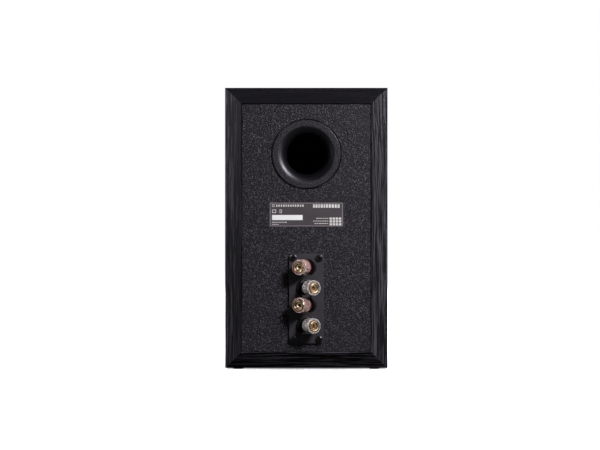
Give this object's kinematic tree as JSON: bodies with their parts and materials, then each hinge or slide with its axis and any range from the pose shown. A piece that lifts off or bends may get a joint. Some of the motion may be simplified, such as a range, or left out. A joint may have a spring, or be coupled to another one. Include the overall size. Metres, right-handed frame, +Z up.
{
  "type": "bookshelf speaker",
  "caption": "Black two-way bookshelf loudspeaker: bevelled wood-grain cabinet, flared rear port, tilted clear-capped binding posts, woofer and dome tweeter.",
  "frame": {"origin": "on the supporting surface, in the middle of the overall width and depth", "axes": "+Z up, front facing -Y, connectors and port facing +Y"},
  "size_m": [0.18, 0.2746, 0.312],
  "materials": {
    "black_ash_wrap": "black open-grain ash foil, satin",
    "textured_board": "black pebble-grain foil, low sheen",
    "satin_baffle": "smooth black lacquer, satin",
    "raw_board": "bare fibreboard",
    "wadding": "loose polyester fibre",
    "foot_rubber": "matt rubber",
    "port_plastic": "moulded black, fine pebble texture",
    "label_film": "printed grey film",
    "plate_plastic": "moulded black, smooth matt",
    "gasket_foam": "black closed-cell foam",
    "black_screw": "black oxide, glossy",
    "collar_plastic": "moulded black, glossy",
    "gold_plate": "gold-plated, polished",
    "insulator": "nylon",
    "tinned_brass": "tinned, dull",
    "nickel_steel": "zinc-plated",
    "black_steel": "black-passivated steel",
    "red_ring": "red, glossy",
    "black_ring": "black, glossy",
    "clear_grip": "clear moulded plastic, fluted",
    "basket_paint": "black powder coat",
    "trim_aluminium": "spun and anodised",
    "surround_rubber": "soft black rubber",
    "cone_weave": "woven black fibre",
    "dust_cap_plastic": "pressed black fibre",
    "spider_cloth": "resin-stiffened cloth",
    "former_foil": "foil former",
    "copper_wire": "enamelled copper",
    "ferrite": "sintered ferrite",
    "faceplate_plastic": "moulded black, satin",
    "dome_fabric": "coated soft dome",
    "laminate": "green circuit laminate",
    "capacitor_film": "wrapped film capacitor",
    "resistor_cement": "white cement",
    "lead_insulation": "insulated stranded wire"
  },
  "bodies": {
    "cabinet": {"top_panel": "black_ash_wrap", "bottom_panel": "black_ash_wrap", "left_side_panel": "black_ash_wrap", "right_side_panel": "black_ash_wrap", "rear_panel": "textured_board", "front_baffle": "satin_baffle", "cabinet_brace": "raw_board", "acoustic_lining": "wadding", "rubber_feet": "foot_rubber", "port_flange": "port_plastic", "port_tube": "port_plastic", "rating_label": "label_film", "terminal_plate": "plate_plastic", "terminal_gasket": "gasket_foam", "terminal_screws": "black_screw", "post_base_bushes": "collar_plastic", "post_shafts": "gold_plate", "post_insulating_washers": "insulator", "post_solder_tags": "tinned_brass", "post_hex_nuts": "nickel_steel", "woofer_basket": "basket_paint", "woofer_trim_ring": "trim_aluminium", "woofer_surround": "surround_rubber", "woofer_spider": "spider_cloth", "woofer_top_plate": "black_steel", "woofer_magnet": "ferrite", "woofer_yoke": "black_steel", "woofer_screws": "black_screw", "woofer_tag_strip": "laminate", "tweeter_faceplate": "faceplate_plastic", "tweeter_top_plate": "black_steel", "tweeter_magnet": "ferrite", "tweeter_yoke": "black_steel", "tweeter_screws": "black_screw", "crossover_board": "laminate", "crossover_standoffs": "insulator", "crossover_inductors": "copper_wire", "crossover_capacitors": "capacitor_film", "crossover_resistors": "resistor_cement", "input_leads": "lead_insulation", "woofer_leads": "lead_insulation", "tweeter_leads": "lead_insulation"},
    "woofer_diaphragm": {"woofer_cone": "cone_weave", "woofer_dust_cap": "dust_cap_plastic", "woofer_coil_former": "former_foil", "woofer_coil_winding": "copper_wire"},
    "tweeter_diaphragm": {"tweeter_dome": "dome_fabric", "tweeter_coil": "copper_wire"},
    "post_1_carriage": {"post_1_colour_ring": "red_ring"},
    "post_1_knob": {"post_1_nut": "gold_plate", "post_1_sleeve": "clear_grip"},
    "post_2_carriage": {"post_2_colour_ring": "black_ring"},
    "post_2_knob": {"post_2_nut": "gold_plate", "post_2_sleeve": "clear_grip"},
    "post_3_carriage": {"post_3_colour_ring": "red_ring"},
    "post_3_knob": {"post_3_nut": "gold_plate", "post_3_sleeve": "clear_grip"},
    "post_4_carriage": {"post_4_colour_ring": "black_ring"},
    "post_4_knob": {"post_4_nut": "gold_plate", "post_4_sleeve": "clear_grip"}
  },
  "joints": [
    {"name": "woofer_excursion", "type": "slide", "parent": "cabinet", "child": "woofer_diaphragm", "axis": [0, -1, 0], "range_m": [-0.0045, 0.0045], "stiffness_N_per_m": 1200, "deforming": ["woofer_surround", "woofer_spider"]},
    {"name": "tweeter_excursion", "type": "slide", "parent": "cabinet", "child": "tweeter_diaphragm", "axis": [0, -1, 0], "range_m": [-0.0003, 0.0003], "stiffness_N_per_m": 2000},
    {"name": "post_1_travel", "type": "slide", "parent": "cabinet", "child": "post_1_carriage", "axis": [0.4226, 0.9063, 0], "range_m": [-0.003, 0.0035]},
    {"name": "post_1_turn", "type": "hinge", "parent": "post_1_carriage", "child": "post_1_knob", "pos_m": [0.00412, 0.1252, 0.1137], "axis": [0.4226, 0.9063, 0], "range_deg": [-1081, 1261]},
    {"name": "post_2_travel", "type": "slide", "parent": "cabinet", "child": "post_2_carriage", "axis": [-0.4226, 0.9063, 0], "range_m": [-0.003, 0.0035]},
    {"name": "post_2_turn", "type": "hinge", "parent": "post_2_carriage", "child": "post_2_knob", "pos_m": [-0.00412, 0.1252, 0.0913], "axis": [-0.4226, 0.9063, 0], "range_deg": [-1081, 1261]},
    {"name": "post_3_travel", "type": "slide", "parent": "cabinet", "child": "post_3_carriage", "axis": [0.4226, 0.9063, 0], "range_m": [-0.003, 0.0035]},
    {"name": "post_3_turn", "type": "hinge", "parent": "post_3_carriage", "child": "post_3_knob", "pos_m": [0.00412, 0.1252, 0.0723], "axis": [0.4226, 0.9063, 0], "range_deg": [-1081, 1261]},
    {"name": "post_4_travel", "type": "slide", "parent": "cabinet", "child": "post_4_carriage", "axis": [-0.4226, 0.9063, 0], "range_m": [-0.003, 0.0035]},
    {"name": "post_4_turn", "type": "hinge", "parent": "post_4_carriage", "child": "post_4_knob", "pos_m": [-0.00412, 0.1252, 0.0499], "axis": [-0.4226, 0.9063, 0], "range_deg": [-1081, 1261]}
  ],
  "couplings": [
    {"joint": "post_1_turn", "follows": "post_1_travel", "rad_per_m": 6283.2},
    {"joint": "post_2_turn", "follows": "post_2_travel", "rad_per_m": 6283.2},
    {"joint": "post_3_turn", "follows": "post_3_travel", "rad_per_m": 6283.2},
    {"joint": "post_4_turn", "follows": "post_4_travel", "rad_per_m": 6283.2}
  ]
}
